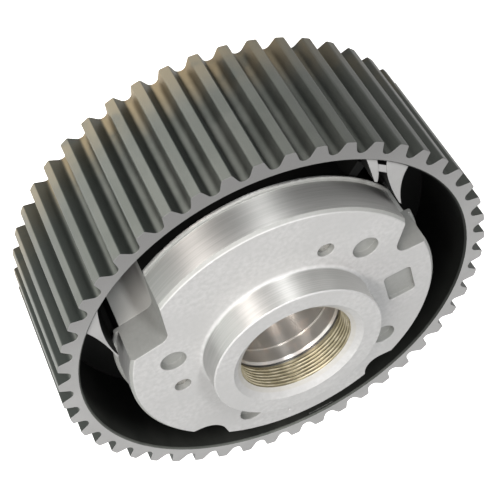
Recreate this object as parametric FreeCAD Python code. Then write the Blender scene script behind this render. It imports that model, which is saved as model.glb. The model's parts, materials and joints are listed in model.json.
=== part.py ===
import FreeCAD, Part
import math
import os

from FreeCAD import Rotation, Vector

# Cam phaser for a toothed timing belt: a 48-tooth pulley whose body is the
# housing (stator) of an oil-driven vane rotor that bolts to the camshaft.
# Millimetres and degrees. Z runs along the shaft, +Z towards the threaded hub.
# The origin is on the axis, in the plane of the pulley's rear face.

# Toothed ring
TEETH = 48
BELT_PITCH = 8.0
BELT_LINE = 0.686            # from the tooth tips out to the belt's pitch line
GROOVE_DEPTH = 3.45
GROOVE_R = 1.65
FLANK_ANGLE = 25.0
TIP_ROUND = 0.6
RING_WIDTH = 41.0
RIM_WALL = 2.4               # metal left below the grooves
RIM_EDGE = 0.5               # broken edge inside the rim, front and rear
FIRST_TOOTH_ANGLE = 5.87

# Housing in the middle of the ring, and the web that carries the ring
BODY_R = 42.5
BODY_WALL = 6.0              # from the chambers' outer wall to the housing's outside
CHAMBER_DEPTH = 18.0
CHAMBER_ROUND = 1.5
BODY_FRONT_Z = 33.8
WEB_THICK = 5.0
WEB_STEP = 1.0               # the web's front face lies this far past the chamber floor
RIB_DROP = 1.0               # ribs stop this far short of the ring's front face
RIB_ROOT = 0.8               # how deep the ribs run into ring and housing
RIB_COVER_GAP = 0.3          # between the ribs' upper feet and the cover's lip
BRIDGE_ANGLES = (47.8, 56.0)
BRIDGE_THICK = 1.9
BRIDGE_GAP = 1.7             # slit between the bridge and the ring
BRIDGE_DEPTH = 6.0

# Ribs: angles of the two sides at the ring, halfway in, and at the housing
RIBS = [
    ((50.3, 43.6), (45.4, 40.6), (36.6, 34.9)),
    ((58.3, 54.2), (52.4, 50.2), (46.4, 44.4)),
    ((144.0, 152.2), (155.2, 156.8), (165.5, 168.6)),
    ((273.5, 283.0), (276.6, 279.0), (276.6, 280.0)),
]

# Front cover with the threaded hub
BAND_STEP = 0.4              # the cover's band stands this far out over the housing
LIP_STEP = 1.0
LIP_THICK = 1.2
LIP_ROUND = 0.5
PLATE_Z = 45.4
PLATE_EDGE = 0.9
HUB_R = 23.5
HUB_Z = 53.5
HUB_FILLET = 1.0
HUB_EDGE = 0.3
THREAD_MAJOR_R = 16.0
THREAD_PITCH = 1.0
MINOR_FACTOR = 0.54          # depth of the nut thread in pitches
THREAD_CHAMFER = 2.0
MOUTH_WIDER = 2.2            # mouth of the chamfer beyond the thread's major radius
RELIEF_WIDER = 0.5
RELIEF_WIDTH = 0.7

# Rotor
ROTOR_SHARE = 0.6575         # the hub's radius as a share of the chambers' radius
RUNNING = 0.04               # oil film between rotor and housing
JOURNAL_R = 18.0
JOURNAL_Z = 43.9
JOURNAL_PLAY = 0.05
SLEEVE_R = 14.9
SLEEVE_CHAMFER = 0.6
SLEEVE_STEP_Z = 39.2
SLEEVE_LIP = 0.3             # narrow rim left standing round the sleeve's mouth
SLEEVE_LIP_HEIGHT = 1.5
BOLT_WELL_R = 14.4
BOLT_SEAT_Z = 31.0
CENTRE_BOLT_R = 6.5
PILOT_R = 15.0
PILOT_DEPTH = 6.0
PILOT_EDGE = 0.6

# Rear cover with the oil seal's collar
REAR_LEDGE = 2.5             # rim of the housing round the rear cover
REAR_COVER_THICK = 5.0
COVER_FIT = 0.05
COLLAR_R = 21.0
COLLAR_BORE_R = 17.5
COLLAR_END_Z = 0.6
COLLAR_EDGE = 0.8
RING_GROOVE_DEPTH = 1.6
RING_GROOVE_WIDTH = 2.4
RING_PLAY = 0.01

# Lobes of the housing between its oil chambers, each from angle to angle
LOBES = [(140.0, 196.0), (235.0, 257.0), (311.0, 333.0), (374.0, 431.0)]

# Vanes of the rotor, each with its width and its middle angle at rest.
# The first is wide, because it holds the locking pin.
VANES = [(46.0, 95.5), (16.0, 205.5), (16.0, 274.0), (16.0, 343.0)]
VANE_PLAY = 0.06
VANE_ROUND = 1.2
TURN_RANGE = 20.0
BLADE_ROOT = 2.0             # how deep vanes and chambers reach inside the rotor's radius

# Seals in the tips of vanes and lobes, with a leaf spring below each
LOBE_SEAL_ANGLES = [150.0, 246.0, 322.0, 382.0]
SEAL_WIDTH = 2.0
SEAL_HEIGHT = 2.3
SEAL_FIT = 0.05
SEAL_PLAY = 0.04
SEAL_SHORT = 0.1
LEAF_THICK = 0.25
LEAF_RISE = 0.9
LEAF_LENGTH = 14.0
LEAF_WIDTH = 1.6
LEAF_PLAY = 0.02

# Cover bolts from the rear: depth inside the housing's radius, and angle
BOLTS = [(11.1, 166.2), (11.0, 40.4), (8.6, 322.2), (8.7, 245.7)]
BOLT_R = 3.0
BOLT_CLEARANCE = 0.3
TAP_CLEARANCE = 0.05
BOLT_ENGAGE = 8.0
BOLT_HEAD_R = 5.0
BOLT_HEAD_H = 4.0
BOLT_HEAD_EDGE = 0.4
BOLT_SOCKET_AF = 5.0
BOLT_SOCKET_DEPTH = 2.4
TAP_BOTTOM = 0.8
DIMPLE_R = 3.55
DIMPLE_DEPTH = 2.0

# Locating dowels between front cover and housing: depth and angle likewise
DOWELS = [(12.2, 188.2), (13.2, 62.6)]
DOWEL_R = 2.3
DOWEL_FIT = 0.02
DOWEL_LENGTH = 16.0
DOWEL_RECESS = 1.6
DOWEL_EDGE = 0.3

# Notches in the rims of cover and housing: the inner corner's depth inside the
# housing's radius and its angle, the directions of the two walls that leave it,
# and the radius that rounds it
NOTCHES = [
    (8.0, 150.2, 90, 196, 3.0),
    (9.1, 21.3, 70, 4, 2.9),
    (5.7, 230.3, 180, 284, 6.5),
    (5.3, 304.0, 266, 363, 5.5),
]

# Shallow bare pocket and centre punch mark on the front face, placed likewise
POCKET_INSET = 9.8
POCKET_ANGLE = 358.8
POCKET_SIZE = (7.9, 10.8)
POCKET_TURN = 7.0
POCKET_DEPTH = 1.2
POCKET_ROUND = 1.2
PUNCH_INSET = 4.4
PUNCH_ANGLE = 264.9
PUNCH_R = 0.5
PUNCH_DEPTH = 0.4

# Locking pin in the first vane, the steps it drops into, its spring and cap
PIN_HEAD_SHARE = 0.336       # the head's radius as a share of the vane's height
PIN_STEP = 1.0               # from the head's radius down to the tip's
PIN_LENGTH = 13.0
PIN_HEAD_LENGTH = 7.0
PIN_TRAVEL = 3.0
PIN_CLEAR = 0.1              # the lifted pin stands this far above the rear cover
PIN_FIT = 0.05
PIN_EDGE = 0.4
PIN_SHOULDER_GAP = 0.3
PIN_SEAL_WALL = 2.0          # metal between the pin's head bore and the seal beside it
PIN_WALL = 1.35
PIN_BORE_DEPTH = 6.7
LOCK_STEPS = 5
LOCK_PLAY = 0.15
CAP_THICK = 2.0
CAP_FIT = 0.02
CAP_VENT_R = 1.2
SPRING_WIRE_R = 0.35
SPRING_PLAY = 0.2            # from the coil's outside to the wall of the pin's bore
SPRING_TURNS = 5

# Oil drillings through the rotor's hub, and the hole for the camshaft's dowel
DRILL_R = 1.0
DRILL_HEIGHTS = (24.6, 28.4)
DRILL_PAST_VANE = 5.0
CAM_DOWEL_HOLE_R = 2.05
CAM_DOWEL_CIRCLE_R = 10.8
CAM_DOWEL_ANGLE = 275.5
CAM_DOWEL_DEPTH = 4.5

# Sizes that follow from the ones above
TIP_R = TEETH * BELT_PITCH / (2 * math.pi) - BELT_LINE
RIM_R = TIP_R - GROOVE_DEPTH - RIM_WALL
BAND_R = BODY_R + BAND_STEP
LIP_R = BAND_R + LIP_STEP
REAR_COVER_R = BODY_R - REAR_LEDGE
CHAMBER_R = BODY_R - BODY_WALL
ROTOR_R = CHAMBER_R * ROTOR_SHARE
BODY_REAR_Z = BODY_FRONT_Z - CHAMBER_DEPTH
REAR_FACE_Z = BODY_REAR_Z - REAR_COVER_THICK
WEB_FRONT_Z = BODY_REAR_Z + WEB_STEP
WEB_REAR_Z = WEB_FRONT_Z - WEB_THICK
ROTOR_REAR_Z = BODY_REAR_Z + RUNNING
ROTOR_FRONT_Z = BODY_FRONT_Z - RUNNING
SEAL_LENGTH = CHAMBER_DEPTH - 2 * SEAL_SHORT
THREAD_MINOR_R = THREAD_MAJOR_R - MINOR_FACTOR * THREAD_PITCH
BORE_SHOULDER_Z = JOURNAL_Z + JOURNAL_PLAY
PIN_ANGLE = VANES[0][1]
PIN_CIRCLE_R = (ROTOR_R + CHAMBER_R) / 2
PIN_HEAD_R = (CHAMBER_R - ROTOR_R) * PIN_HEAD_SHARE
PIN_TIP_R = PIN_HEAD_R - PIN_STEP
PIN_BORE_R = PIN_HEAD_R - PIN_WALL
SPRING_R = PIN_BORE_R - SPRING_PLAY - SPRING_WIRE_R
PIN_DEPTH = PIN_TRAVEL - PIN_CLEAR
PIN_TIP_Z = BODY_REAR_Z - PIN_DEPTH
PIN_TOP_Z = PIN_TIP_Z + PIN_LENGTH
CAP_REAR_Z = ROTOR_FRONT_Z - CAP_THICK
BOLT_PLACES = [(BODY_R - inset, angle) for inset, angle in BOLTS]
DOWEL_PLACES = [(BODY_R - inset, angle) for inset, angle in DOWELS]
UP = Vector(0, 0, 1)


def polar(radius, degrees, z=0.0):
    turn = math.radians(degrees)
    return Vector(radius * math.cos(turn), radius * math.sin(turn), z)


def disc(radius, z0, z1, centre=Vector(0, 0, 0)):
    """Upright cylinder from height z0 to z1."""
    return Part.makeCylinder(radius, z1 - z0, Vector(centre.x, centre.y, z0), UP)


def pin(radius, z0, z1, centre, edge):
    """Upright cylinder with both its edges broken."""
    solid = disc(radius, z0, z1, centre)
    return solid.makeChamfer(edge, [e for e in solid.Edges if isinstance(e.Curve, Part.Circle)])


def revolved(points):
    """Turned solid from a closed outline of (radius, height) corners."""
    corners = [Vector(radius, 0, z) for radius, z in points]
    outline = Part.makePolygon(corners + corners[:1])
    return Part.Face(outline).revolve(Vector(0, 0, 0), UP, 360)


def arc(first, middle, last):
    return Part.Arc(first, middle, last).toShape()


def extruded(edges, height):
    """Upright prism on a closed chain of edges."""
    return Part.Face(Part.Wire(edges)).extrude(Vector(0, 0, height))


def sector(inner, outer, start, stop, z0, z1):
    """Block between two radii and two angles."""
    middle = (start + stop) / 2
    near_start, far_start = polar(inner, start, z0), polar(outer, start, z0)
    near_stop, far_stop = polar(inner, stop, z0), polar(outer, stop, z0)
    edges = [
        Part.makeLine(near_start, far_start),
        arc(far_start, polar(outer, middle, z0), far_stop),
        Part.makeLine(far_stop, near_stop),
        arc(near_stop, polar(inner, middle, z0), near_start),
    ]
    return extruded(edges, z1 - z0)


def rounded_outer_corners(shape, outer, radius):
    """Round the upright edges that lie on the outer radius."""
    corners = []
    for edge in shape.Edges:
        first, last = edge.Vertexes[0].Point, edge.Vertexes[-1].Point
        upright = math.hypot(first.x - last.x, first.y - last.y) < 1e-6 and len(edge.Vertexes) > 1
        if upright and abs(math.hypot(first.x, first.y) - outer) < 1e-6:
            corners.append(edge)
    return shape.makeFillet(radius, corners)


def round_circles(shape, places, radius):
    """Fillet the circles about the axis at the given (radius, height) places."""
    chosen = []
    for edge in shape.Edges:
        if not isinstance(edge.Curve, Part.Circle):
            continue
        for circle_r, z in places:
            if abs(edge.Curve.Radius - circle_r) < 1e-6 and abs(edge.Curve.Center.z - z) < 1e-6:
                chosen.append(edge)
    return shape.makeFillet(radius, chosen)


def tooth_outline():
    """Outer edges of the pulley: grooves with round bottoms and sloping flanks."""
    slope = math.radians(FLANK_ANGLE)
    along = Vector(math.cos(slope), math.sin(slope), 0)
    across = Vector(-math.sin(slope), math.cos(slope), 0)
    groove_centre = Vector(TIP_R - GROOVE_DEPTH + GROOVE_R, 0, 0)
    foot = groove_centre + across * GROOVE_R
    start = groove_centre + across * (GROOVE_R + TIP_ROUND)
    back = start.dot(along)
    reach = math.sqrt((TIP_R - TIP_ROUND)**2 - start.dot(start) + back**2)
    tip_centre = start + along * (reach - back)
    flank = tip_centre - across * TIP_ROUND
    land = tip_centre * (TIP_R / tip_centre.Length)
    bend = tip_centre + (flank + land - tip_centre * 2).normalize() * TIP_ROUND
    step = 360.0 / TEETH
    half_land = step / 2 - math.degrees(math.atan2(land.y, land.x))
    edges = []
    for tooth in range(TEETH):
        turn = Rotation(UP, FIRST_TOOTH_ANGLE + (tooth + 0.5) * step)
        right = [turn.multVec(p) for p in (foot, flank, bend, land)]
        left = [turn.multVec(Vector(p.x, -p.y, 0)) for p in (foot, flank, bend, land)]
        bottom = turn.multVec(Vector(TIP_R - GROOVE_DEPTH, 0, 0))
        land_mid = Rotation(UP, half_land).multVec(right[3])
        land_end = Rotation(UP, 2 * half_land).multVec(right[3])
        edges.append(arc(left[3], left[2], left[1]))
        edges.append(Part.makeLine(left[1], left[0]))
        edges.append(arc(left[0], bottom, right[0]))
        edges.append(Part.makeLine(right[0], right[1]))
        edges.append(arc(*right[1:]))
        edges.append(arc(right[3], land_mid, land_end))
    return edges


def toothed_ring():
    ring = extruded(tooth_outline(), RING_WIDTH)
    wide, front = RIM_R + RIM_EDGE, RING_WIDTH - RIM_EDGE
    bore = revolved([
        (0, 0), (wide, 0), (RIM_R, RIM_EDGE), (RIM_R, front), (wide, RING_WIDTH), (0, RING_WIDTH),
    ])
    return ring.cut(bore)


def rib(ring_angles, middle_angles, foot_angles, z0, z1):
    """Curved rib from the rim's inner wall down to the housing.

    Each side is an arc from the housing through its middle to the rim.
    """
    rim = RIM_R + RIB_ROOT
    foot = BODY_R - RIB_ROOT
    rim_a, rim_b = (polar(rim, angle, z0) for angle in ring_angles)
    bend_a, bend_b = (polar((RIM_R + BODY_R) / 2, angle, z0) for angle in middle_angles)
    foot_a, foot_b = (polar(foot, angle, z0) for angle in foot_angles)
    edges = [
        arc(foot_a, bend_a, rim_a),
        Part.makeLine(rim_a, rim_b),
        arc(rim_b, bend_b, foot_b),
        Part.makeLine(foot_b, foot_a),
    ]
    return extruded(edges, z1 - z0)


def ribs():
    """The ribs, and the short bridge that joins the first two near the ring."""
    front = RING_WIDTH - RIB_DROP
    outer = RIM_R - BRIDGE_GAP
    bridge = sector(outer - BRIDGE_THICK, outer, *BRIDGE_ANGLES, front - BRIDGE_DEPTH, front)
    return [rib(*angles, WEB_REAR_Z, front) for angles in RIBS] + [bridge]


def notch(inset, angle, toward_a, toward_b, corner_r, z0, z1):
    """Open wedge beyond an inner corner of the rim, with the corner rounded."""
    far = LIP_R
    half = math.radians(abs(toward_b - toward_a) / 2)
    middle = (toward_a + toward_b) / 2
    corner = polar(BODY_R - inset, angle, z0)
    back = corner_r / math.tan(half)
    start, stop = corner + polar(back, toward_a), corner + polar(back, toward_b)
    bend = corner + polar(corner_r / math.sin(half) - corner_r, middle)
    far_a, far_b = corner + polar(far, toward_a), corner + polar(far, toward_b)
    edges = [
        arc(start, bend, stop),
        Part.makeLine(stop, far_b),
        Part.makeLine(far_b, far_a),
        Part.makeLine(far_a, start),
    ]
    return extruded(edges, z1 - z0)


def seal_slot(inner, outer, angle, z0, z1):
    """Straight slot across a tip, between two radii."""
    width = SEAL_WIDTH + 2 * SEAL_FIT
    box = Part.makeBox(outer - inner, width, z1 - z0, Vector(inner, -width / 2, z0))
    return box.rotate(Vector(0, 0, 0), UP, angle)


def vane_slot_radii():
    """Bottom of a vane's slot, underside of its seal and the seal's tip."""
    tip = CHAMBER_R - SEAL_PLAY
    return tip - SEAL_HEIGHT - LEAF_RISE, tip - SEAL_HEIGHT, tip


def lobe_slot_radii():
    """Tip of a lobe's seal, its back and the bottom of the slot behind it."""
    tip = ROTOR_R + SEAL_PLAY
    return tip, tip + SEAL_HEIGHT, tip + SEAL_HEIGHT + LEAF_RISE


def chambers():
    """Space inside the housing: the rotor's bore and the oil chambers."""
    bore = disc(ROTOR_R + RUNNING, BODY_REAR_Z, BODY_FRONT_Z)
    spaces = []
    for (_, start), (stop, _) in zip(LOBES, LOBES[1:] + [(LOBES[0][0] + 360, 0)]):
        space = sector(ROTOR_R - BLADE_ROOT, CHAMBER_R, start, stop, BODY_REAR_Z, BODY_FRONT_Z)
        spaces.append(rounded_outer_corners(space, CHAMBER_R, CHAMBER_ROUND))
    return bore.fuse(spaces)


def housing():
    """Body of the stator, open at both ends, with its bolt and dowel holes."""
    body = disc(BODY_R, REAR_FACE_Z, BODY_FRONT_Z)
    cuts = [chambers(), disc(REAR_COVER_R + COVER_FIT, REAR_FACE_Z, BODY_REAR_Z)]
    slot_outer = lobe_slot_radii()[2]
    for angle in LOBE_SEAL_ANGLES:
        cuts.append(seal_slot(ROTOR_R - 1, slot_outer, angle, BODY_REAR_Z, BODY_FRONT_Z))
    for radius, angle in BOLT_PLACES:
        cuts.append(disc(BOLT_R + BOLT_CLEARANCE, BODY_REAR_Z, BODY_FRONT_Z, polar(radius, angle)))
    for radius, angle in DOWEL_PLACES:
        floor = PLATE_Z - DOWEL_RECESS - DOWEL_LENGTH
        cuts.append(disc(DOWEL_R + DOWEL_FIT, floor, BODY_FRONT_Z, polar(radius, angle)))
    for place in NOTCHES:
        cuts.append(notch(*place, WEB_FRONT_Z, BODY_FRONT_Z))
    return body.cut(cuts)


def stator_pulley():
    """Ring, web, ribs and housing body in one sintered piece."""
    inside = disc(BODY_R - RIB_ROOT, 0, BODY_FRONT_Z)
    web = disc(RIM_R + RIB_ROOT, WEB_REAR_Z, WEB_FRONT_Z).cut(inside)
    cover_room = disc(LIP_R + RIB_COVER_GAP, BODY_FRONT_Z, RING_WIDTH)
    outside = [piece.cut([inside, cover_room]) for piece in ribs()]
    return toothed_ring().fuse([housing(), web] + outside).removeSplitter()


def front_cover():
    """Turned aluminium cover: plate, band with its lip, and threaded hub."""
    shoulder = BORE_SHOULDER_Z
    body = revolved([
        (JOURNAL_R + JOURNAL_PLAY, BODY_FRONT_Z), (LIP_R, BODY_FRONT_Z), (LIP_R, BODY_FRONT_Z + LIP_THICK),
        (BAND_R, BODY_FRONT_Z + LIP_THICK), (BAND_R, PLATE_Z - PLATE_EDGE), (BAND_R - PLATE_EDGE, PLATE_Z),
        (HUB_R, PLATE_Z), (HUB_R, HUB_Z - HUB_EDGE), (HUB_R - HUB_EDGE, HUB_Z),
        (THREAD_MAJOR_R + MOUTH_WIDER, HUB_Z), (THREAD_MINOR_R, HUB_Z - THREAD_CHAMFER),
        (THREAD_MINOR_R, shoulder + RELIEF_WIDTH), (THREAD_MAJOR_R + RELIEF_WIDER, shoulder + RELIEF_WIDTH),
        (THREAD_MAJOR_R + RELIEF_WIDER, shoulder), (JOURNAL_R + JOURNAL_PLAY, shoulder),
    ])
    body = round_circles(body, [(LIP_R, BODY_FRONT_Z), (LIP_R, BODY_FRONT_Z + LIP_THICK)], LIP_ROUND)
    body = round_circles(body, [(HUB_R, PLATE_Z)], HUB_FILLET)
    cuts = [notch(*place, BODY_FRONT_Z, PLATE_Z) for place in NOTCHES]
    tap_end_z = BODY_FRONT_Z + BOLT_ENGAGE + TAP_BOTTOM
    for radius, angle in BOLT_PLACES:
        centre = polar(radius, angle)
        cuts.append(disc(BOLT_R + TAP_CLEARANCE, BODY_FRONT_Z, tap_end_z, centre))
        cuts.append(disc(DIMPLE_R, PLATE_Z - DIMPLE_DEPTH, PLATE_Z, centre))
    for radius, angle in DOWEL_PLACES:
        cuts.append(disc(DOWEL_R + DOWEL_FIT, BODY_FRONT_Z, PLATE_Z, polar(radius, angle)))
    cuts.append(bare_pocket())
    punch_tip = polar(BODY_R - PUNCH_INSET, PUNCH_ANGLE, PLATE_Z - PUNCH_DEPTH)
    cuts.append(Part.makeCone(0, PUNCH_R, PUNCH_DEPTH, punch_tip, UP))
    return body.cut(cuts)


def bare_pocket():
    """Shallow rectangular pocket with rounded corners, a little askew."""
    width, height = POCKET_SIZE
    centre = polar(BODY_R - POCKET_INSET, POCKET_ANGLE, PLATE_Z - POCKET_DEPTH)
    box = Part.makeBox(width, height, POCKET_DEPTH, centre - Vector(width / 2, height / 2, 0))
    upright = [edge for edge in box.Edges if abs(edge.tangentAt(edge.FirstParameter).z) > 0.5]
    return box.makeFillet(POCKET_ROUND, upright).rotate(centre, UP, POCKET_TURN)


def lock_steps():
    """Stepped slot in the rear cover that lets the pin ride out as it turns."""
    slots = []
    half_width = PIN_TIP_R + LOCK_PLAY
    near, far = PIN_CIRCLE_R - half_width, PIN_CIRCLE_R + half_width
    for step in range(LOCK_STEPS):
        depth = PIN_DEPTH * (1 - step / LOCK_STEPS) + LOCK_PLAY
        stop = PIN_ANGLE + TURN_RANGE * (step + 1) / LOCK_STEPS
        floor = BODY_REAR_Z - depth
        slots.append(disc(half_width, floor, BODY_REAR_Z, polar(PIN_CIRCLE_R, PIN_ANGLE)))
        slots.append(disc(half_width, floor, BODY_REAR_Z, polar(PIN_CIRCLE_R, stop)))
        slots.append(sector(near, far, PIN_ANGLE, stop, floor, BODY_REAR_Z))
    return slots


def rear_cover():
    """Steel plate in the housing's rear recess, with the oil seal's collar."""
    groove_z = (REAR_FACE_Z + BODY_REAR_Z) / 2
    low, high = groove_z - RING_GROOVE_WIDTH / 2, groove_z + RING_GROOVE_WIDTH / 2
    groove_r = REAR_COVER_R - RING_GROOVE_DEPTH
    body = revolved([
        (COLLAR_BORE_R, COLLAR_END_Z + COLLAR_EDGE), (COLLAR_BORE_R + COLLAR_EDGE, COLLAR_END_Z),
        (COLLAR_R - COLLAR_EDGE, COLLAR_END_Z), (COLLAR_R, COLLAR_END_Z + COLLAR_EDGE),
        (COLLAR_R, REAR_FACE_Z), (REAR_COVER_R, REAR_FACE_Z), (REAR_COVER_R, low), (groove_r, low),
        (groove_r, high), (REAR_COVER_R, high), (REAR_COVER_R, BODY_REAR_Z), (COLLAR_BORE_R, BODY_REAR_Z),
    ])
    cuts = lock_steps()
    for radius, angle in BOLT_PLACES:
        cuts.append(disc(BOLT_R + BOLT_CLEARANCE, REAR_FACE_Z, BODY_REAR_Z, polar(radius, angle)))
    return body.cut(cuts)


def rear_o_ring():
    groove_r = REAR_COVER_R - RING_GROOVE_DEPTH
    section = (RING_GROOVE_DEPTH + COVER_FIT) / 2 - RING_PLAY
    centre_z = (REAR_FACE_Z + BODY_REAR_Z) / 2
    return Part.makeTorus(groove_r + section + RING_PLAY, section, Vector(0, 0, centre_z), UP)


def rotor_bore():
    """Turned inside of the rotor: camshaft pilot, bolt hole, well and sleeve."""
    mouth_r = SLEEVE_R + SLEEVE_CHAMFER
    floor = ROTOR_REAR_Z + PILOT_DEPTH
    return revolved([
        (0, ROTOR_REAR_Z), (PILOT_R + PILOT_EDGE, ROTOR_REAR_Z), (PILOT_R, ROTOR_REAR_Z + PILOT_EDGE),
        (PILOT_R, floor), (CENTRE_BOLT_R, floor), (CENTRE_BOLT_R, BOLT_SEAT_Z), (BOLT_WELL_R, BOLT_SEAT_Z),
        (BOLT_WELL_R, SLEEVE_STEP_Z), (SLEEVE_R, SLEEVE_STEP_Z), (SLEEVE_R, JOURNAL_Z - SLEEVE_CHAMFER),
        (mouth_r, JOURNAL_Z), (0, JOURNAL_Z),
    ])


def pin_bore():
    """Stepped bore of the locking pin, open at both faces of the rotor."""
    centre = polar(PIN_CIRCLE_R, PIN_ANGLE)
    shoulder = PIN_TOP_Z - PIN_HEAD_LENGTH - PIN_SHOULDER_GAP
    narrow = disc(PIN_TIP_R + PIN_FIT, ROTOR_REAR_Z, shoulder, centre)
    return narrow.fuse(disc(PIN_HEAD_R + PIN_FIT, shoulder, ROTOR_FRONT_Z, centre))


def oil_drillings():
    """A drilling on each side of every vane, from the bolt hole outwards."""
    drills = []
    for width, middle in VANES:
        for side, height in zip((-1, 1), DRILL_HEIGHTS):
            angle = middle + side * (width / 2 + DRILL_PAST_VANE)
            drills.append(Part.makeCylinder(DRILL_R, ROTOR_R + 1, Vector(0, 0, height), polar(1, angle)))
    return drills


def rotor():
    """Steel rotor: hub, four vanes and the journal that runs in the cover."""
    hub = disc(ROTOR_R, ROTOR_REAR_Z, ROTOR_FRONT_Z)
    journal = disc(JOURNAL_R, ROTOR_FRONT_Z, JOURNAL_Z - SLEEVE_LIP_HEIGHT)
    lip = disc(SLEEVE_R + SLEEVE_CHAMFER + SLEEVE_LIP, ROTOR_FRONT_Z, JOURNAL_Z)
    tip = CHAMBER_R - VANE_PLAY
    blades = []
    for width, middle in VANES:
        first, last = middle - width / 2, middle + width / 2
        blade = sector(ROTOR_R - BLADE_ROOT, tip, first, last, ROTOR_REAR_Z, ROTOR_FRONT_Z)
        blades.append(rounded_outer_corners(blade, tip, VANE_ROUND))
    cuts = [rotor_bore(), pin_bore()] + oil_drillings()
    for _, middle in VANES:
        cuts.append(seal_slot(vane_slot_radii()[0], tip + 1, seal_angle(middle), ROTOR_REAR_Z, ROTOR_FRONT_Z))
    floor = ROTOR_REAR_Z + PILOT_DEPTH
    dowel_place = polar(CAM_DOWEL_CIRCLE_R, CAM_DOWEL_ANGLE)
    cuts.append(disc(CAM_DOWEL_HOLE_R, floor, floor + CAM_DOWEL_DEPTH, dowel_place))
    return hub.fuse([journal, lip] + blades).cut(cuts).removeSplitter()


def seal_angle(vane_middle):
    """A vane's seal sits in its middle, or beside the locking pin."""
    if vane_middle == PIN_ANGLE:
        return PIN_ANGLE + math.degrees((PIN_HEAD_R + PIN_SEAL_WALL + SEAL_WIDTH) / PIN_CIRCLE_R)
    return vane_middle


def vane_seal(angle):
    """Seal bar in a vane's tip, its outer face rounded to the chamber wall."""
    _, back, tip = vane_slot_radii()
    z0 = BODY_REAR_Z + SEAL_SHORT
    bar = Part.makeBox(tip + 1 - back, SEAL_WIDTH, SEAL_LENGTH, Vector(back, -SEAL_WIDTH / 2, z0))
    return bar.common(disc(tip, z0, z0 + SEAL_LENGTH)).rotate(Vector(0, 0, 0), UP, angle)


def lobe_seal(angle):
    """Seal bar in a lobe's tip, its inner face rounded to the rotor's hub."""
    tip, back, _ = lobe_slot_radii()
    z0 = BODY_REAR_Z + SEAL_SHORT
    bar = Part.makeBox(back - tip + 1, SEAL_WIDTH, SEAL_LENGTH, Vector(tip - 1, -SEAL_WIDTH / 2, z0))
    return bar.cut(disc(tip, z0, z0 + SEAL_LENGTH)).rotate(Vector(0, 0, 0), UP, angle)


def leaf_spring(bed, back, angle):
    """Bowed strip whose ends stand on the slot's bed and whose crown meets
    the back of the seal. The bed may lie inside or outside of the seal."""
    side = 1 if back > bed else -1
    crown = abs(back - bed) - LEAF_PLAY
    z = (BODY_REAR_Z + BODY_FRONT_Z) / 2

    def at(along, rise):
        return Vector(bed + side * rise, -LEAF_WIDTH / 2, z + along)

    half = LEAF_LENGTH / 2
    edges = [
        arc(at(-half, 0), at(0, crown - LEAF_THICK), at(half, 0)),
        Part.makeLine(at(half, 0), at(half, LEAF_THICK)),
        arc(at(half, LEAF_THICK), at(0, crown), at(-half, LEAF_THICK)),
        Part.makeLine(at(-half, LEAF_THICK), at(-half, 0)),
    ]
    strip = Part.Face(Part.Wire(edges)).extrude(Vector(0, LEAF_WIDTH, 0))
    return strip.rotate(Vector(0, 0, 0), UP, angle)


def locking_pin():
    """Pin with a wide head, hollow from the top for its spring."""
    centre = polar(PIN_CIRCLE_R, PIN_ANGLE)
    tip = pin(PIN_TIP_R, PIN_TIP_Z, PIN_TOP_Z - 1, centre, PIN_EDGE)
    head = disc(PIN_HEAD_R, PIN_TOP_Z - PIN_HEAD_LENGTH, PIN_TOP_Z, centre)
    bore = disc(PIN_BORE_R, PIN_TOP_Z - PIN_BORE_DEPTH, PIN_TOP_Z, centre)
    return tip.fuse(head).cut(bore)


def locking_pin_spring():
    """Round wire coil between the bottom of the pin's bore and the cap."""
    bottom = PIN_TOP_Z - PIN_BORE_DEPTH + SPRING_WIRE_R
    top = CAP_REAR_Z - SPRING_WIRE_R
    centre = polar(PIN_CIRCLE_R, PIN_ANGLE, bottom)
    helix = Part.makeHelix((top - bottom) / SPRING_TURNS, top - bottom, SPRING_R)
    helix.translate(centre)
    start = centre + Vector(SPRING_R, 0, 0)
    section = Part.Wire(Part.makeCircle(SPRING_WIRE_R, start, Vector(0, 1, 0)))
    return Part.Wire(helix.Edges).makePipeShell([section], True, True)


def locking_pin_cap():
    """Vented disc pressed into the rotor above the spring."""
    centre = polar(PIN_CIRCLE_R, PIN_ANGLE)
    cap = disc(PIN_HEAD_R + PIN_FIT - CAP_FIT, CAP_REAR_Z, ROTOR_FRONT_Z, centre)
    return cap.cut(disc(CAP_VENT_R, CAP_REAR_Z, ROTOR_FRONT_Z, centre))


def cover_bolt(radius, angle):
    """Socket-head bolt from the rear cover into the front cover."""
    centre = polar(radius, angle)
    head_z = REAR_FACE_Z - BOLT_HEAD_H
    shank = disc(BOLT_R, REAR_FACE_Z, BODY_FRONT_Z + BOLT_ENGAGE, centre)
    head = pin(BOLT_HEAD_R, head_z, REAR_FACE_Z, centre, BOLT_HEAD_EDGE)
    corner_r = BOLT_SOCKET_AF / math.sqrt(3)
    corners = [centre + polar(corner_r, 60 * side, head_z) for side in range(7)]
    socket = Part.Face(Part.makePolygon(corners)).extrude(Vector(0, 0, BOLT_SOCKET_DEPTH))
    return head.fuse(shank).cut(socket)


def locating_dowel(radius, angle):
    top = PLATE_Z - DOWEL_RECESS
    return pin(DOWEL_R, top - DOWEL_LENGTH, top, polar(radius, angle), DOWEL_EDGE)


def seals():
    """Every tip seal with its leaf spring, named by where it sits."""
    nodes = {}
    bed, back, _ = vane_slot_radii()
    for number, (_, middle) in enumerate(VANES, 1):
        nodes["vane_seal_%d" % number] = vane_seal(seal_angle(middle))
        nodes["vane_seal_spring_%d" % number] = leaf_spring(bed, back, seal_angle(middle))
    _, back, bed = lobe_slot_radii()
    for number, angle in enumerate(LOBE_SEAL_ANGLES, 1):
        nodes["lobe_seal_%d" % number] = lobe_seal(angle)
        nodes["lobe_seal_spring_%d" % number] = leaf_spring(bed, back, angle)
    return nodes


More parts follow.
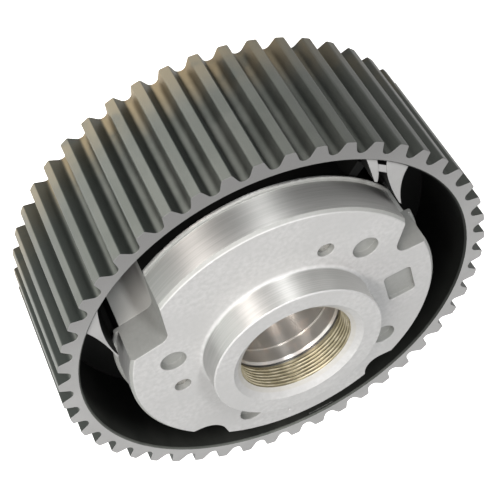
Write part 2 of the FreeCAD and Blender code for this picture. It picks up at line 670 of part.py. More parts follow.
def all_nodes():
    nodes = {
        "stator_pulley": stator_pulley(),
        "front_cover": front_cover(),
        "rear_cover": rear_cover(),
        "rear_o_ring": rear_o_ring(),
        "rotor": rotor(),
        "locking_pin": locking_pin(),
        "locking_pin_spring": locking_pin_spring(),
        "locking_pin_cap": locking_pin_cap(),
        "cover_bolts": Part.makeCompound([cover_bolt(*place) for place in BOLT_PLACES]),
        "locating_dowels": Part.makeCompound([locating_dowel(*place) for place in DOWEL_PLACES]),
    }
    nodes.update(seals())
    return nodes


os.makedirs("parts", exist_ok=True)
for name, shape in all_nodes().items():
    shape.exportStep(os.path.join("parts", name + ".step"))
    print("%-24s solids %d  valid %s  volume %.1f" % (name, len(shape.Solids), shape.isValid(), shape.Volume))
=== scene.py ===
import json
import math

import bmesh
import bpy
from mathutils import Matrix, Vector

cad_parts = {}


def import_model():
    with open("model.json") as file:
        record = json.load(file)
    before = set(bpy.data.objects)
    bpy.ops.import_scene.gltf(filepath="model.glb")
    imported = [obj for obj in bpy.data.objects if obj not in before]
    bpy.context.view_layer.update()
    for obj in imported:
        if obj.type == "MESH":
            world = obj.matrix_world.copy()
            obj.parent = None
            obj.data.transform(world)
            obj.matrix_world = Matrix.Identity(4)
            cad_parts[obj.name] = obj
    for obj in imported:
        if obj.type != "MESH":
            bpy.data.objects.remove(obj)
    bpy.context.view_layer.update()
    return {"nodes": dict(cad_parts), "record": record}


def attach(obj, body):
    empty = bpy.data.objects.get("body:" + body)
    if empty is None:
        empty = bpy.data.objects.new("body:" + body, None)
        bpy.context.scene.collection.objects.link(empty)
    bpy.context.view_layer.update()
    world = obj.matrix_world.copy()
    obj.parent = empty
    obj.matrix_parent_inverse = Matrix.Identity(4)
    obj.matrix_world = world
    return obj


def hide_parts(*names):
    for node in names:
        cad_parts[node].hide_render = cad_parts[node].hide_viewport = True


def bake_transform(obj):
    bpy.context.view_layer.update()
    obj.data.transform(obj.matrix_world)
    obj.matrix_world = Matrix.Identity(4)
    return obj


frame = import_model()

# Looks of the cam phaser: metals, rubber, the hub's thread, floor, light, camera.
# Metres. The axis is Z, and the toothed ring's rear face is z = 0.

MM = 0.001
MOUNTS = {mount["name"]: mount for mount in frame["record"]["mounts"]}

# Heights and radii that part the surfaces of one piece into their finishes
RING_FRONT_Z = 41.0 * MM
RING_INNER_R = 54.579 * MM
TIP_R = 60.429 * MM
RIB_FRONT_Z = 39.0 * MM
BODY_FRONT_Z = 33.8 * MM
WEB_FRONT_Z = 16.8 * MM
BODY_R = 42.5 * MM
LIP_R = 43.9 * MM
BAND_R = 42.9 * MM
PLATE_Z = 45.4 * MM
HUB_R = 23.5 * MM
HUB_MOUTH_R = 16.7 * MM

# Thread in the hub, standing on the wall of its hole
THREAD_PITCH = 1.0 * MM
THREAD_DEPTH = 0.28 * MM
THREAD_ROOT_WIDTH = 0.75 * MM
THREAD_CREST_WIDTH = 0.2 * MM
THREAD_SUNK = 0.05 * MM
THREAD_STEPS = 120
THREAD_FADE_STEPS = 20

# Ribs between housing and ring: angles of the two sides at the ring, halfway in
# and at the inner end, how far the inner end stands off the cover's lip, and the
# height of the front. The bridge joins the first two near the ring.
RIBS = (
    ((52.3, 43.9), (47.0, 41.1), (34.9, 33.5), 0.0, 40.0 * MM),
    ((59.6, 56.0), (55.2, 52.2), (50.9, 49.7), 3.4 * MM, 40.0 * MM),
    ((141.4, 151.6), (154.0, 156.8), (164.8, 166.4), 0.0, 40.0 * MM),
    ((273.5, 283.0), (276.6, 279.0), (276.6, 280.0), 0.0, 26.0 * MM),
)
RIB_ROOT = 0.8 * MM
RIB_COVER_GAP = 0.3 * MM
TIE_START = 0.3
TIE_WIDER = 2.5
BRIDGE_ANGLES = (46.6, 54.8)
BRIDGE_RADII = (50.8 * MM, 52.9 * MM)
BRIDGE_HEIGHTS = (34.0 * MM, 39.9 * MM)
SIDE_STEPS = 12

# Tube that clears the space between housing and ring before the ribs go in
CLEARING_SKIN = 0.07 * MM
CLEARING_RISE = 2.0 * MM
CLEARING_STEPS = 360

WELD_DISTANCE = 0.001 * MM
SHARP_ANGLE = math.radians(30)

# Sintered steel: dark and pale tone of its skin and its front face, pale notch walls whose dark tone is
# painted shadow, and painted black shade for the gap
PRESSED_SKIN = ((0.055, 0.061, 0.054), (0.095, 0.100, 0.090))
FRONT_FACE = ((0.28, 0.28, 0.28), (0.40, 0.40, 0.40))
# Painted shade: darker tone of the toothed ring's front face towards +Y
FRONT_FACE_SHADE = (0.17, 0.17, 0.17)
# Notch walls: their own pale tone, and a dark tone that is painted shadow of the ring's rim
NOTCH_TONE_AND_SHADOW = ((0.14, 0.14, 0.14), (0.46, 0.465, 0.45))
# Painted black shade for the walls in the gap between housing and ring
GAP_SHADE_BLACK = (0.012, 0.012, 0.012)

# Films on that skin, and painted light and shade: colour, and how strong each is from 0 to 1
STREAKS = ((0.16, 0.165, 0.15), 0.4)
TAN = ((0.27, 0.21, 0.12), 0.85)
WORN_TIPS = ((0.17, 0.18, 0.165), 0.35)
# Painted light: teeth paler towards -X
SIDE_LIGHT = ((0.17, 0.18, 0.165), 0.2)
# Painted shade: teeth darker towards +X
SIDE_SHADE = ((0.018, 0.020, 0.018), 0.88)
# Painted shade on the tooth flanks that face clockwise
FLANK_SHADE = ((0.018, 0.022, 0.020), 0.85)

# Where these begin and where they are full, along X, Y or the height
TAN_Z = (17.0 * MM, 1.0 * MM)
# Painted light on the teeth towards -X
SIDE_LIGHT_X = (20.0 * MM, -50.0 * MM)
# Painted shade on the teeth towards +X
SIDE_SHADE_X = (-20.0 * MM, 45.0 * MM)
# Painted shade on the ring's front face along Y
FRONT_SHADE_Y = (-10.0 * MM, 60.0 * MM)
# Painted light on the ring's wall near its front, inside the gap
LIT_WALL_Z = (31.0 * MM, RING_FRONT_Z)
NOTCH_Z = (14.0 * MM, 18.0 * MM)
# Heights where the painted shadow of the ring's rim on the notch walls ends and the pale tone is full
NOTCH_SHADE_Z = (15.0 * MM, 28.0 * MM)

# Aluminium cover: dark and pale tone of each finish, and the stained hub mouth
CAST_FACE = ((0.42, 0.42, 0.42), (0.50, 0.50, 0.50))
CAST_PATCHES = ((0.41, 0.41, 0.41), (0.46, 0.46, 0.46))
CAST_SUNK = ((0.25, 0.255, 0.245), (0.31, 0.315, 0.305))
TURNED_RINGS = ((0.36, 0.365, 0.35), (0.56, 0.55, 0.54))
STAINED_MOUTH = (0.36, 0.32, 0.22)
THREAD_BRASS = ((0.33, 0.29, 0.19), (0.50, 0.45, 0.33))

# Other steels: dark and pale tone, roughness; the rotor's also has the tint of its
# stains, how metallic it is and how strongly its turning stretches highlights
STEELS = {
    "cover_steel": ((0.33, 0.33, 0.32), (0.46, 0.45, 0.43), 0.34),
    "rotor_steel": ((0.42, 0.405, 0.385), (0.50, 0.48, 0.455), 0.33, (0.53, 0.475, 0.43), 0.85, 0.85),
    "hardened_steel": ((0.44, 0.43, 0.41), (0.58, 0.57, 0.55), 0.26),
    "spring_steel": ((0.26, 0.26, 0.27), (0.40, 0.40, 0.40), 0.30),
    "bolt_steel": ((0.05, 0.05, 0.055), (0.11, 0.11, 0.11), 0.38),
}

# Seals: dark and pale tone, roughness, size of the grain
SEALS = {
    "seal_rubber": ((0.018, 0.018, 0.018), (0.035, 0.035, 0.033), 0.55, 0.6 * MM),
    "seal_plastic": ((0.07, 0.055, 0.04), (0.12, 0.10, 0.075), 0.45, 0.5 * MM),
}

# Lamps: azimuth and elevation in degrees, distance, width and height, watts, colour
LAMPS = {
    "key": (134, 66, 0.9, (0.6, 0.5), 1.7, (1.0, 1.0, 1.0)),
    "wide_strip": (127, 36, 0.6, (0.10, 0.30), 2.6, (1.0, 0.93, 0.89)),
    "narrow_strip": (76, 36, 0.6, (0.05, 0.30), 2.2, (1.0, 1.0, 1.0)),
    "left_panel": (168, 30, 0.8, (0.55, 0.45), 2.6, (0.96, 1.0, 0.96)),
    "right_panel": (30, 30, 0.8, (0.4, 0.3), 0.3, (1.0, 1.0, 1.0)),
}

# Room that lights the part, and the paper floor
ROOM_COLOR = (0.80, 0.82, 0.80, 1.0)
ROOM_STRENGTH = 0.2
FLOOR_HALF = 3.0
FLOOR_PAPER = ((0.78, 0.78, 0.78), (0.82, 0.82, 0.82))
FLOOR_GLOW = 0.86

# The photograph's camera: place, direction of view and the picture's down side
CAMERA_PLACE = Vector((-49.0, 268.7, 219.2)) * MM
CAMERA_VIEW = Vector((0.1285, -0.7552, -0.6428))
CAMERA_DOWN = Vector((-0.3754, -0.6369, 0.6733))
FOCAL_PIXELS = 1236.0
PICTURE_PIXELS = 500.0
PICTURE_CENTRE = (197.8, 192.8)
SENSOR = 36.0
NEAR_CLIP = 0.01


class Paint:
    """A material's node tree, with short ways to add its nodes."""

    def __init__(self, name):
        self.material = bpy.data.materials.new(name)
        self.material.use_nodes = True
        self.tree = self.material.node_tree
        self.shader = self.tree.nodes["Principled BSDF"]
        self.place = self.node("ShaderNodeTexCoord").outputs["Object"]

    def node(self, kind, **settings):
        """Add a node with its settings."""
        made = self.tree.nodes.new(kind)
        for key, value in settings.items():
            setattr(made, key, value)
        return made

    def link(self, source, target):
        """Join an output, or set a plain value, on an input."""
        if isinstance(source, bpy.types.NodeSocket):
            self.tree.links.new(source, target)
        else:
            target.default_value = source

    def math(self, operation, *values):
        """One sum on outputs or plain values."""
        made = self.node("ShaderNodeMath", operation=operation)
        for value, target in zip(values, made.inputs):
            self.link(value, target)
        return made.outputs[0]

    def times(self, first, second):
        """Product of two masks or values."""
        return self.math("MULTIPLY", first, second)

    def step(self, value, low, high):
        """0 at low, 1 at high, smooth between them."""
        made = self.node("ShaderNodeMapRange", interpolation_type="SMOOTHSTEP")
        self.link(value, made.inputs["Value"])
        made.inputs["From Min"].default_value = low
        made.inputs["From Max"].default_value = high
        return made.outputs["Result"]

    def spread(self, value, low, high):
        """A value from 0 to 1 spread from low to high."""
        made = self.node("ShaderNodeMapRange")
        self.link(value, made.inputs["Value"])
        made.inputs["To Min"].default_value = low
        made.inputs["To Max"].default_value = high
        return made.outputs["Result"]

    def noise(self, size, detail=4.0, stretch=(1, 1, 1)):
        """Soft noise whose blots are about size metres wide."""
        scaled = self.node("ShaderNodeVectorMath", operation="MULTIPLY")
        self.link(self.place, scaled.inputs[0])
        scaled.inputs[1].default_value = stretch
        made = self.node("ShaderNodeTexNoise")
        self.link(scaled.outputs[0], made.inputs["Vector"])
        made.inputs["Scale"].default_value = 1.0 / size
        made.inputs["Detail"].default_value = detail
        return made.outputs["Fac"]

    def mix(self, factor, first, second):
        """Colour from first to second as factor goes from 0 to 1."""
        made = self.node("ShaderNodeMix", data_type="RGBA")
        self.link(factor, made.inputs["Factor"])
        for value, target in ((first, made.inputs[6]), (second, made.inputs[7])):
            self.link(value if isinstance(value, bpy.types.NodeSocket) else (*value, 1.0), target)
        return made.outputs[2]

    def coat(self, color, mask, film):
        """Lay a film over a colour where the mask is 1."""
        film_color, strength = film
        return self.mix(self.times(mask, strength), color, film_color)

    def place_parts(self):
        """X, Y and Z of the place on the part."""
        parts = self.node("ShaderNodeSeparateXYZ")
        self.link(self.place, parts.inputs[0])
        return parts.outputs

    def axis_parts(self):
        """Distance from the axis, and height."""
        x, y, z = self.place_parts()
        squares = [self.times(value, value) for value in (x, y)]
        return self.math("SQRT", self.math("ADD", *squares)), z

    def sideways(self):
        """How far the surface faces round the axis, anticlockwise, from -1 to 1."""
        outward = self.node("ShaderNodeVectorMath", operation="MULTIPLY")
        self.link(self.place, outward.inputs[0])
        outward.inputs[1].default_value = (1, 1, 0)
        around = self.node("ShaderNodeVectorMath", operation="CROSS_PRODUCT")
        around.inputs[0].default_value = (0, 0, 1)
        self.link(outward.outputs[0], around.inputs[1])
        unit = self.node("ShaderNodeVectorMath", operation="NORMALIZE")
        self.link(around.outputs[0], unit.inputs[0])
        dot = self.node("ShaderNodeVectorMath", operation="DOT_PRODUCT")
        self.link(unit.outputs[0], dot.inputs[0])
        self.link(self.node("ShaderNodeTexCoord").outputs["Normal"], dot.inputs[1])
        return dot.outputs["Value"]

    def facing(self):
        """How far the surface faces along +Z, from -1 to 1."""
        parts = self.node("ShaderNodeSeparateXYZ")
        self.link(self.node("ShaderNodeNewGeometry").outputs["Normal"], parts.inputs[0])
        return parts.outputs[2]

    def bump(self, height, distance, strength=1.0, edge=0.0):
        """Bump of a height from 0 to 1, in metres, on softened edges."""
        made = self.node("ShaderNodeBump")
        self.link(height, made.inputs["Height"])
        made.inputs["Distance"].default_value = distance
        made.inputs["Strength"].default_value = strength
        if edge:
            soft = self.node("ShaderNodeBevel", samples=6)
            soft.inputs["Radius"].default_value = edge
            self.link(soft.outputs["Normal"], made.inputs["Normal"])
        self.link(made.outputs["Normal"], self.shader.inputs["Normal"])

    def turned(self, amount):
        """Stretch the highlights as fine rings round the axis do."""
        around = self.node("ShaderNodeTangent", direction_type="RADIAL", axis="Z")
        self.link(around.outputs[0], self.shader.inputs["Tangent"])
        self.shader.inputs["Anisotropic Rotation"].default_value = 0.25
        self.link(amount, self.shader.inputs["Anisotropic"])

    def finish(self, color, roughness, metallic=1.0):
        """Set the shader's main inputs and hand back the material."""
        self.link(color, self.shader.inputs["Base Color"])
        self.link(roughness, self.shader.inputs["Roughness"])
        self.link(metallic, self.shader.inputs["Metallic"])
        return self.material


def tooth_skin(paint, radius, height, blots):
    """Dark pressed skin: streaks, tan at the rear, worn tips, painted light towards -X, painted shade
    towards +X and on the flanks that face clockwise.
    """
    x, _, _ = paint.place_parts()
    skin = paint.mix(paint.step(blots, 0.38, 0.66), *PRESSED_SKIN)
    skin = paint.coat(skin, paint.noise(2.2 * MM, 3.0, (1, 1, 0.06)), STREAKS)
    rear = paint.times(paint.step(height, *TAN_Z), paint.step(blots, 0.25, 0.55))
    skin = paint.coat(skin, rear, TAN)
    skin = paint.coat(skin, paint.step(radius, TIP_R - 0.5 * MM, TIP_R - 0.1 * MM), WORN_TIPS)
    # Painted light: teeth paler towards -X
    skin = paint.coat(skin, paint.step(x, *SIDE_LIGHT_X), SIDE_LIGHT)
    # Painted shade: teeth darker towards +X
    skin = paint.coat(skin, paint.step(x, *SIDE_SHADE_X), SIDE_SHADE)
    # Painted shade on the tooth flanks that face clockwise
    flank = paint.times(paint.step(paint.sideways(), -0.35, -0.8),
                        paint.step(radius, RING_INNER_R, RING_INNER_R + 1 * MM))
    return paint.coat(skin, flank, FLANK_SHADE)


def gap_shade_mask(paint, radius, height):
    """Mask of painted black shade on the walls between housing and ring, with painted light making it
    paler at the ring's front.
    """
    between = paint.times(paint.step(radius, RING_INNER_R + 0.4 * MM, RING_INNER_R + 0.1 * MM),
                          paint.step(radius, BODY_R - 0.3 * MM, BODY_R - 0.1 * MM))
    lit_wall = paint.times(paint.step(height, *LIT_WALL_Z),
                           paint.step(radius, RING_INNER_R - 0.6 * MM, RING_INNER_R - 0.2 * MM))
    return paint.times(between, paint.math("SUBTRACT", 0.93, paint.times(lit_wall, 0.6)))


def front_face(paint, radius, blots):
    """Pale front face, with painted shade that darkens it along Y on the toothed ring."""
    _, y, _ = paint.place_parts()
    on_ring = paint.step(radius, RING_INNER_R - 1 * MM, RING_INNER_R)
    # Painted shade: the ring's front face darker towards +Y
    painted_shade = paint.times(paint.step(y, *FRONT_SHADE_Y), on_ring)
    return paint.mix(painted_shade, paint.mix(blots, *FRONT_FACE), FRONT_FACE_SHADE)


def ring_steel():
    """Sintered steel: dark pressed flanks, paler front faces, painted black shade between housing and
    ring.
    """
    paint = Paint("sintered_steel")
    radius, height = paint.axis_parts()
    blots = paint.noise(9 * MM, 5.0)
    grain = paint.noise(0.45 * MM, 3.0)
    front = paint.times(paint.step(paint.facing(), 0.7, 0.9),
                        paint.step(height, RIB_FRONT_Z - 1 * MM, RIB_FRONT_Z))
    notch = paint.times(paint.step(radius, BODY_R - 0.1 * MM, BODY_R - 0.3 * MM),
                        paint.step(height, *NOTCH_Z))
    # Notch walls pale high up and darker deeper down: painted shadow of the ring's rim
    notch_tone_and_shadow = paint.mix(paint.step(height, *NOTCH_SHADE_Z), *NOTCH_TONE_AND_SHADOW)
    skin = tooth_skin(paint, radius, height, blots)
    # Painted black shade in the gap between housing and ring, lighter near the ring's front
    skin = paint.mix(gap_shade_mask(paint, radius, height), skin, GAP_SHADE_BLACK)
    skin = paint.mix(notch, skin, notch_tone_and_shadow)
    color = paint.mix(front, skin, front_face(paint, radius, blots))
    paint.bump(paint.math("ADD", paint.times(grain, 0.5), blots), 0.12 * MM, 0.5, edge=0.25 * MM)
    rough = paint.math("ADD", paint.spread(blots, 0.44, 0.58), paint.times(front, 0.12))
    bare = paint.math("MAXIMUM", notch, front)
    return paint.finish(color, rough, paint.math("SUBTRACT", 0.85, paint.times(bare, 0.6)))


def lathe_mask(paint, radius, flat):
    """Mask of the turned walls of band and hub, without the notches' sides."""
    walls = paint.math("MAXIMUM", paint.step(radius, BAND_R - 1.4 * MM, BAND_R - 0.8 * MM),
                       paint.step(radius, HUB_R + 1.2 * MM, HUB_R + 0.2 * MM))
    walls = paint.times(paint.math("SUBTRACT", 1.0, flat), walls)
    return paint.times(walls, paint.step(paint.math("ABSOLUTE", paint.sideways()), 0.5, 0.3))


def cast_plate(paint, radius, height, mottle):
    """Mottled cast face with broad patches, darker in its sunk marks."""
    patches = paint.step(paint.noise(14 * MM, 3.0), 0.35, 0.65)
    sunk = paint.times(paint.step(height, PLATE_Z - 0.1 * MM, PLATE_Z - 0.35 * MM),
                       paint.step(radius, HUB_R + 1 * MM, HUB_R + 2 * MM))
    cast = paint.mix(paint.step(mottle, 0.25, 0.75), *CAST_FACE)
    cast = paint.mix(patches, cast, paint.mix(mottle, *CAST_PATCHES))
    return paint.mix(sunk, cast, paint.mix(mottle, *CAST_SUNK))


def cover_aluminium():
    """Turned band and hub with fine rings, and a matte mottled plate."""
    paint = Paint("turned_aluminium")
    radius, height = paint.axis_parts()
    facing = paint.facing()
    flat = paint.step(facing, 0.3, 0.6)
    mottle = paint.noise(1.3 * MM, 6.0)
    grain = paint.noise(0.35 * MM, 2.0)
    rings = paint.noise(0.35 * MM, 3.0, (0.02, 0.02, 1))
    lathe = lathe_mask(paint, radius, flat)
    color = paint.mix(lathe, cast_plate(paint, radius, height, mottle), paint.mix(rings, *TURNED_RINGS))
    mouth = paint.times(paint.step(radius, HUB_MOUTH_R, HUB_MOUTH_R - 0.3 * MM),
                        paint.step(facing, 0.9, 0.6))
    color = paint.mix(mouth, color, STAINED_MOUTH)
    paint.turned(paint.times(lathe, 0.9))
    relief = paint.math("ADD", paint.times(mottle, flat), paint.times(grain, 0.2))
    paint.bump(relief, 0.05 * MM, 0.5, edge=0.2 * MM)
    return paint.finish(color, paint.spread(lathe, 0.55, 0.50), paint.spread(lathe, 0.25, 1.0))


def thread_brass_tint():
    """Oiled thread crests with a warm brassy tint."""
    paint = Paint("thread_metal")
    stain = paint.noise(2.5 * MM, 4.0)
    color = paint.mix(paint.step(stain, 0.35, 0.7), *THREAD_BRASS)
    paint.bump(paint.noise(0.3 * MM, 2.0), 0.02 * MM, 0.4)
    return paint.finish(color, paint.spread(stain, 0.24, 0.38))


def machined_steel(name, dark, pale, rough, tint=None, metallic=1.0, turned=0.0):
    """Steel with turning rings and soft stains."""
    paint = Paint(name)
    if turned:
        paint.turned(turned)
    stain = paint.noise(4 * MM, 4.0)
    rings = paint.noise(0.4 * MM, 2.0, (0.05, 0.05, 1))
    color = paint.mix(stain, dark, pale)
    if tint:
        color = paint.mix(paint.step(stain, 0.5, 0.7), color, tint)
    paint.bump(paint.math("ADD", rings, paint.times(stain, 0.3)), 0.02 * MM, 0.5, edge=0.15 * MM)
    return paint.finish(color, paint.spread(stain, rough - 0.06, rough + 0.08), metallic)


def soft_material(name, dark, pale, rough, grain_size):
    """Rubber or plastic with a fine grain."""
    paint = Paint(name)
    grain = paint.noise(grain_size, 4.0)
    paint.bump(grain, 0.03 * MM, 0.5)
    return paint.finish(paint.mix(grain, dark, pale), paint.spread(grain, rough, rough + 0.12), 0.0)


def slot_materials():
    """The material of every slot in the record."""
    materials = {"sintered_steel": ring_steel(), "turned_aluminium": cover_aluminium()}
    for name, look in STEELS.items():
        materials[name] = machined_steel(name, *look)
    for name, look in SEALS.items():
        materials[name] = soft_material(name, *look)
    return materials


def dress_nodes(materials):
    """Give every solid's node the material of its slot in the record."""
    slots = {part["node"]: part["material_slot"] for part in frame["record"]["subparts"]}
    for name, piece in frame["nodes"].items():
        material = materials[slots[name]]
        if not piece.material_slots:
            piece.data.materials.append(material)
        for place in piece.material_slots:
            place.material = material


def mesh_piece(name, points, faces, material):
    """A new object with one material."""
    mesh = bpy.data.meshes.new(name)
    mesh.from_pydata(points, [], faces)
    mesh.update()
    mesh.materials.append(material)
    piece = bpy.data.objects.new(name, mesh)
    bpy.context.scene.collection.objects.link(piece)
    return piece


def polar(radius, degrees, height):
    """Point at a radius and an angle round the axis."""
    turn = math.radians(degrees)
    return Vector((radius * math.cos(turn), radius * math.sin(turn), height))


def prism(outline, bottom, top):
    """Upright block over an outline that runs anticlockwise."""
    count = len(outline)
    points = [(x, y, height) for height in (bottom, top) for x, y, _ in outline]
    faces = [tuple(reversed(range(count))), tuple(range(count, 2 * count))]
    for first in range(count):
        second = (first + 1) % count
        faces.append((first, second, second + count, first + count))
    return points, faces


def sector(inner, outer, start, stop, bottom, top):
    """Upright block between two radii and two angles."""
    angles = [start + (stop - start) * step / SIDE_STEPS for step in range(SIDE_STEPS + 1)]
    outline = [polar(outer, angle, 0) for angle in angles]
    outline += [polar(inner, angle, 0) for angle in reversed(angles)]
    return prism(outline, bottom, top)


def rib_side(ring, middle, foot):
    """Points of a smooth curve through a rib's three points, from the foot out."""
    points = []
    for step in range(SIDE_STEPS + 1):
        at = step / SIDE_STEPS
        near, between, far = (1 - at) * (1 - 2 * at), 4 * at * (1 - at), at * (2 * at - 1)
        points.append(near * foot + between * middle + far * ring)
    return points


def rib_blocks():
    """The ribs, the blocks that tie them to the housing, and the bridge."""
    rim = RING_INNER_R + RIB_ROOT
    for ring, middle, foot, stand_off, front in RIBS:
        end = LIP_R + RIB_COVER_GAP + stand_off
        sides = [
            rib_side(polar(rim, ring[side], 0), polar((RING_INNER_R + end) / 2, middle[side], 0),
                     polar(end, foot[side], 0))
            for side in sorted((0, 1), key=lambda side: ring[side])
        ]
        yield prism(sides[0] + sides[1][::-1], WEB_FRONT_Z - RIB_ROOT, front)
        yield sector(BODY_R - RIB_ROOT, end + RIB_ROOT, min(foot) + TIE_START, max(foot) + TIE_WIDER,
                     WEB_FRONT_Z - 2 * RIB_ROOT, min(BODY_FRONT_Z, front) - CLEARING_SKIN)
    yield sector(*BRIDGE_RADII, *BRIDGE_ANGLES, *BRIDGE_HEIGHTS)


def clearing():
    """Tube that fills the space between housing and ring, just off their walls."""
    inner, outer = BODY_R + CLEARING_SKIN, RING_INNER_R - CLEARING_SKIN
    low, high = WEB_FRONT_Z + CLEARING_SKIN, RING_FRONT_Z + CLEARING_RISE
    corners = ((inner, low), (outer, low), (outer, high), (inner, high))
    angles = [360 * step / CLEARING_STEPS for step in range(CLEARING_STEPS)]
    points = [tuple(polar(radius, angle, height)) for radius, height in corners for angle in angles]
    faces = []
    for corner in range(len(corners)):
        near = corner * CLEARING_STEPS
        far = (corner + 1) % len(corners) * CLEARING_STEPS
        for step in range(CLEARING_STEPS):
            after = (step + 1) % CLEARING_STEPS
            faces.append((near + step, near + after, far + after, far + step))
    return points, faces


def carve(piece, block, operation):
    """Cut a block out of a piece, or add one to it."""
    tool = mesh_piece("carving_block", *block, piece.data.materials[0])
    step = piece.modifiers.new("carve", "BOOLEAN")
    step.operation = operation
    step.solver = "EXACT"
    step.object = tool
    carved = piece.evaluated_get(bpy.context.evaluated_depsgraph_get())
    mesh = bpy.data.meshes.new_from_object(carved)
    piece.modifiers.clear()
    piece.data = mesh
    bpy.data.objects.remove(tool)


def copy_of(node, name, material):
    """A closed piece with the shape of a solid's node."""
    copy = bmesh.new()
    copy.from_mesh(frame["nodes"][node].data)
    bmesh.ops.remove_doubles(copy, verts=copy.verts, dist=WELD_DISTANCE)
    copy.verts.index_update()
    points = [tuple(corner.co) for corner in copy.verts]
    faces = [[corner.index for corner in face.verts] for face in copy.faces]
    copy.free()
    return mesh_piece(name, points, faces, material)


def smooth(piece):
    """Smooth shading that stops at sharp edges."""
    piece.data.shade_smooth()
    piece.data.set_sharp_from_angle(angle=SHARP_ANGLE)


def pulley(material):
    """The toothed ring and housing, with the ribs shaped as the photograph shows."""
    piece = copy_of("stator_pulley", "pulley", material)
    carve(piece, clearing(), "DIFFERENCE")
    for block in rib_blocks():
        carve(piece, block, "UNION")
    smooth(piece)
    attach(piece, "stator")
    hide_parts("stator_pulley")


def pin_spring(material):
    """The locking pin's coil, which on the real part shortens as the pin rises; here a closed copy of
    its node, fixed in shape.
    """
    piece = copy_of("locking_pin_spring", "pin_spring", material)
    smooth(piece)
    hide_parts("locking_pin_spring")
    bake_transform(piece)


def thread_mesh(wall, bottom, length):
    """Points and faces of one ridge on a round wall, which fades at its ends."""
    climb = length - THREAD_ROOT_WIDTH
    steps = round(climb / THREAD_PITCH * THREAD_STEPS)
    root, crest = THREAD_ROOT_WIDTH / 2, THREAD_CREST_WIDTH / 2
    sunk = wall + THREAD_SUNK
    points, faces = [], []
    for step in range(steps + 1):
        angle = 2 * math.pi * step / THREAD_STEPS
        middle = bottom + root + climb * step / steps
        fade = min(1.0, step / THREAD_FADE_STEPS, (steps - step) / THREAD_FADE_STEPS)
        tip = wall - THREAD_DEPTH * fade
        for radius, rise in ((sunk, -root), (tip, -crest), (tip, crest), (sunk, root)):
            points.append((radius * math.cos(angle), radius * math.sin(angle), middle + rise))
    for step in range(steps):
        for side in range(3):
            first = 4 * step + side
            faces.append((first, first + 1, first + 5, first + 4))
    return points, faces


def hub_thread(material):
    """The ridge that climbs the wall of the hub's hole."""
    mount = MOUNTS["front_thread"]
    length = mount["dims"]["length_mm"] * MM
    bottom = mount["pos_m"][2] - length / 2
    piece = mesh_piece("hub_thread", *thread_mesh(mount["dims"]["r_mm"] * MM, bottom, length), material)
    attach(piece, "stator")


def area_lamp(name, azimuth, elevation, distance, size, watts, color):
    """Soft box round the part that faces its front plate."""
    lamp = bpy.data.lights.new(name, "AREA")
    lamp.shape = "RECTANGLE"
    lamp.size, lamp.size_y = size
    lamp.energy = watts
    lamp.color = color
    item = bpy.data.objects.new(name, lamp)
    bpy.context.scene.collection.objects.link(item)
    turn, rise = math.radians(azimuth), math.radians(elevation)
    way = Vector((math.cos(turn) * math.cos(rise), math.sin(turn) * math.cos(rise), math.sin(rise)))
    target = Vector((0, 0, PLATE_Z))
    item.location = target + way * distance
    item.rotation_euler = (target - item.location).to_track_quat("-Z", "Y").to_euler()


def lamps():
    """All lamps of the studio."""
    for name, look in LAMPS.items():
        area_lamp(name, *look)


def seen_rays(tree):
    """1 for the rays that show the background: those of camera, gloss and glass."""
    rays = tree.nodes.new("ShaderNodeLightPath")
    seen = rays.outputs["Is Camera Ray"]
    for kind in ("Is Glossy Ray", "Is Transmission Ray"):
        larger = tree.nodes.new("ShaderNodeMath")
        larger.operation = "MAXIMUM"
        tree.links.new(seen, larger.inputs[0])
        tree.links.new(rays.outputs[kind], larger.inputs[1])
        seen = larger.outputs[0]
    return seen


def world():
    """White where it is seen or mirrored, and a pale grey room as soft light."""
    scene_world = bpy.data.worlds.new("studio")
    bpy.context.scene.world = scene_world
    scene_world.use_nodes = True
    tree = scene_world.node_tree
    room = tree.nodes["Background"]
    room.inputs["Color"].default_value = ROOM_COLOR
    room.inputs["Strength"].default_value = ROOM_STRENGTH
    white = tree.nodes.new("ShaderNodeBackground")
    white.inputs["Strength"].default_value = 1.0
    white.inputs["Color"].default_value = (1, 1, 1, 1)
    mix = tree.nodes.new("ShaderNodeMixShader")
    tree.links.new(seen_rays(tree), mix.inputs[0])
    tree.links.new(room.outputs[0], mix.inputs[1])
    tree.links.new(white.outputs[0], mix.inputs[2])
    tree.links.new(mix.outputs[0], tree.nodes["World Output"].inputs[0])


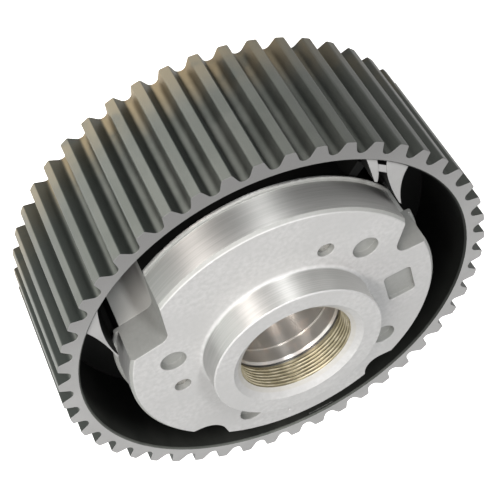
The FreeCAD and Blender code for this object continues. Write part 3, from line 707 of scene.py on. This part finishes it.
def floor():
    """Paper floor, white where it is seen or mirrored but for a faint shadow."""
    points = [(x * FLOOR_HALF, y * FLOOR_HALF, 0) for x, y in ((-1, -1), (1, -1), (1, 1), (-1, 1))]
    paint = Paint("floor_paper")
    paint.finish(paint.mix(paint.noise(0.2, 2.0), *FLOOR_PAPER), 0.9, 0.0)
    seen = seen_rays(paint.tree)
    glow = paint.node("ShaderNodeEmission")
    add = paint.node("ShaderNodeAddShader")
    mix = paint.node("ShaderNodeMixShader")
    paint.link(paint.times(seen, FLOOR_GLOW), glow.inputs["Strength"])
    paint.link(paint.shader.outputs[0], add.inputs[0])
    paint.link(glow.outputs[0], add.inputs[1])
    paint.link(seen, mix.inputs[0])
    paint.link(paint.shader.outputs[0], mix.inputs[1])
    paint.link(add.outputs[0], mix.inputs[2])
    paint.link(mix.outputs[0], paint.tree.nodes["Material Output"].inputs["Surface"])
    mesh_piece("floor", points, [(0, 1, 2, 3)], paint.material)


def camera():
    """The photograph's view, with the lens worked out from its focal length."""
    lens = bpy.data.cameras.new("photo_camera")
    lens.sensor_width = SENSOR
    lens.lens = FOCAL_PIXELS * SENSOR / PICTURE_PIXELS
    lens.shift_x = (PICTURE_PIXELS / 2 - PICTURE_CENTRE[0]) / PICTURE_PIXELS
    lens.shift_y = (PICTURE_CENTRE[1] - PICTURE_PIXELS / 2) / PICTURE_PIXELS
    lens.clip_start = NEAR_CLIP
    item = bpy.data.objects.new("photo_camera", lens)
    bpy.context.scene.collection.objects.link(item)
    back = -CAMERA_VIEW.normalized()
    right = (-CAMERA_DOWN).cross(back).normalized()
    up = back.cross(right)
    turn = Matrix((right, up, back)).transposed().to_4x4()
    item.matrix_world = Matrix.Translation(CAMERA_PLACE) @ turn
    bpy.context.scene.camera = item


bpy.context.scene.view_settings.view_transform = "Standard"
materials = slot_materials()
dress_nodes(materials)
pulley(materials["sintered_steel"])
pin_spring(materials["spring_steel"])
hub_thread(thread_brass_tint())
lamps()
world()
floor()
camera()
